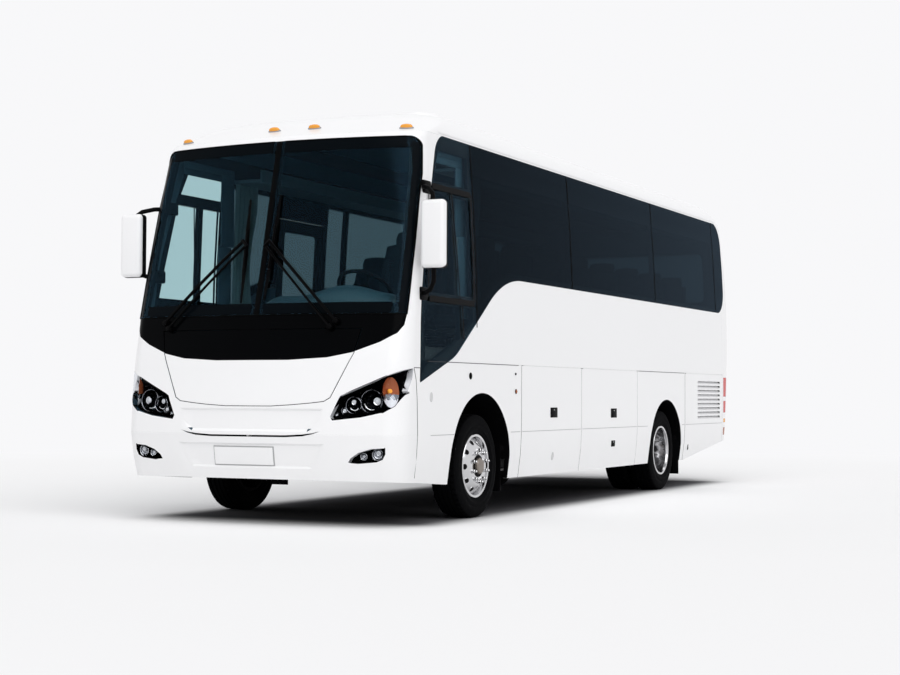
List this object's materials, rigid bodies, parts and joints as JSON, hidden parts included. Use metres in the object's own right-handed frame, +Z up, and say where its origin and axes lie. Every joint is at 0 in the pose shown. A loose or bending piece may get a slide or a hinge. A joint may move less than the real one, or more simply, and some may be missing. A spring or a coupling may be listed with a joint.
{
  "type": "midi coach",
  "caption": "White rear-engined midi coach with a dark wraparound window band, a deep sloping windscreen, steered front wheels, twin rear wheels, a hinged entrance door and lifting lockers.",
  "frame": {"origin": "on the ground, midway between front and rear and between the sides", "axes": "+Z up, +Y towards the rear, front faces -Y, +X is the driver's side"},
  "size_m": [2.948, 8.9995, 3.4199],
  "materials": {
    "white_paint": "gloss",
    "black_gloss": "gloss",
    "clear_glass": "tinted",
    "dark_glass": "dark tint",
    "lamp_lens": "clear",
    "red_lens": "gloss",
    "amber_lens": "gloss",
    "black_plastic": "matte",
    "dark_plastic": "grained",
    "grey_plastic": "satin",
    "floor_vinyl": "matte",
    "seat_fabric": "woven",
    "chassis_paint": "satin",
    "engine_iron": "cast",
    "bay_aluminium": "satin",
    "wheel_alloy": "polished",
    "tyre_rubber": "matte"
  },
  "bodies": {
    "body": {"roof": "white_paint", "roof_unit": "white_paint", "front_mask": "white_paint", "front_bumper": "white_paint", "side_panels": "white_paint", "front_skirts": "white_paint", "rear_skirts": "white_paint", "rear_cap": "white_paint", "rear_bumper": "white_paint", "scuttle": "black_gloss", "window_bands": "black_gloss", "windscreen_frame": "black_gloss", "mirror_heads": "white_paint", "mirror_arms": "black_gloss", "windscreen": "clear_glass", "body_glass": "dark_glass", "front_lamps": "lamp_lens", "tail_lamps": "red_lens", "roof_markers": "amber_lens", "wipers": "black_plastic", "arch_liners": "black_plastic", "steering_column": "black_plastic", "dashboard": "dark_plastic", "luggage_racks": "grey_plastic", "entry_steps": "floor_vinyl", "cabin_floor": "floor_vinyl", "seats": "seat_fabric", "chassis_frame": "chassis_paint", "front_axle": "chassis_paint", "rear_axle": "chassis_paint", "engine_block": "engine_iron", "air_tank": "chassis_paint", "luggage_bays": "bay_aluminium"},
    "front_wheel_left": {"front_rim_left": "wheel_alloy", "front_tyre_left": "tyre_rubber"},
    "front_wheel_right": {"front_rim_right": "wheel_alloy", "front_tyre_right": "tyre_rubber"},
    "rear_wheel_left": {"rear_rims_left": "wheel_alloy", "rear_tyres_left": "tyre_rubber"},
    "rear_wheel_right": {"rear_rims_right": "wheel_alloy", "rear_tyres_right": "tyre_rubber"},
    "knuckle_left": {"knuckle_left": "chassis_paint"},
    "knuckle_right": {"knuckle_right": "chassis_paint"},
    "steering_wheel": {"steering_wheel": "black_plastic"},
    "entry_door": {"entry_door": "black_gloss", "entry_door_glass": "dark_glass"},
    "front_flap": {"front_flap": "white_paint", "flap_scuttle": "black_gloss"},
    "engine_door": {"engine_door": "white_paint"},
    "luggage_door_left_front": {"luggage_door_left_front": "white_paint"},
    "luggage_door_left_rear": {"luggage_door_left_rear": "white_paint"},
    "luggage_door_right_front": {"luggage_door_right_front": "white_paint"},
    "luggage_door_right_rear": {"luggage_door_right_rear": "white_paint"},
    "side_door_left": {"side_door_left": "white_paint"},
    "side_door_right": {"side_door_right": "white_paint"}
  },
  "joints": [
    {"name": "steer_left", "type": "hinge", "parent": "body", "child": "knuckle_left", "pos_m": [0.93, -2.86, 0.423], "axis": [0, 0, 1], "range_deg": [-38, 38]},
    {"name": "steer_right", "type": "hinge", "parent": "body", "child": "knuckle_right", "pos_m": [-0.93, -2.86, 0.423], "axis": [0, 0, 1], "range_deg": [-38, 38]},
    {"name": "steering_wheel", "type": "hinge", "parent": "body", "child": "steering_wheel", "pos_m": [0.62, -3.76, 1.83], "axis": [0, 0.6157, 0.788], "range_deg": [-700, 700]},
    {"name": "front_wheel_left_spin", "type": "hinge", "parent": "knuckle_left", "child": "front_wheel_left", "pos_m": [1.07, -2.86, 0.423], "axis": [1, 0, 0], "continuous": true},
    {"name": "front_wheel_right_spin", "type": "hinge", "parent": "knuckle_right", "child": "front_wheel_right", "pos_m": [-1.07, -2.86, 0.423], "axis": [1, 0, 0], "continuous": true},
    {"name": "rear_wheel_left_spin", "type": "hinge", "parent": "body", "child": "rear_wheel_left", "pos_m": [1.07, 1.96, 0.423], "axis": [1, 0, 0], "continuous": true},
    {"name": "rear_wheel_right_spin", "type": "hinge", "parent": "body", "child": "rear_wheel_right", "pos_m": [-1.07, 1.96, 0.423], "axis": [1, 0, 0], "continuous": true},
    {"name": "entry_door_swing", "type": "hinge", "parent": "body", "child": "entry_door", "pos_m": [-1.245, -2.1, 1.4], "axis": [0, 0, 1], "range_deg": [0, 85]},
    {"name": "luggage_door_left_front_lift", "type": "hinge", "parent": "body", "child": "luggage_door_left_front", "pos_m": [1.245, 0, 1.2575], "axis": [0, -1, 0], "range_deg": [0, 85]},
    {"name": "luggage_door_left_rear_lift", "type": "hinge", "parent": "body", "child": "luggage_door_left_rear", "pos_m": [1.245, 0, 1.2575], "axis": [0, -1, 0], "range_deg": [0, 85]},
    {"name": "luggage_door_right_front_lift", "type": "hinge", "parent": "body", "child": "luggage_door_right_front", "pos_m": [-1.245, 0, 1.2575], "axis": [0, 1, 0], "range_deg": [0, 85]},
    {"name": "luggage_door_right_rear_lift", "type": "hinge", "parent": "body", "child": "luggage_door_right_rear", "pos_m": [-1.245, 0, 1.2575], "axis": [0, 1, 0], "range_deg": [0, 85]},
    {"name": "side_door_left_lift", "type": "hinge", "parent": "body", "child": "side_door_left", "pos_m": [1.245, 0, 1.2575], "axis": [0, -1, 0], "range_deg": [0, 85]},
    {"name": "side_door_right_lift", "type": "hinge", "parent": "body", "child": "side_door_right", "pos_m": [-1.245, 0, 1.2575], "axis": [0, 1, 0], "range_deg": [0, 85]},
    {"name": "front_flap_lift", "type": "hinge", "parent": "body", "child": "front_flap", "pos_m": [0, -4.394, 1.4975], "axis": [-1, 0, 0], "range_deg": [0, 75]},
    {"name": "engine_door_lift", "type": "hinge", "parent": "body", "child": "engine_door", "pos_m": [0, 4.482, 1.4825], "axis": [1, 0, 0], "range_deg": [0, 80]}
  ],
  "couplings": [
    {"joint": "steer_right", "follows": "steer_left", "ratio": 1},
    {"joint": "steering_wheel", "follows": "steer_left", "ratio": 18}
  ]
}
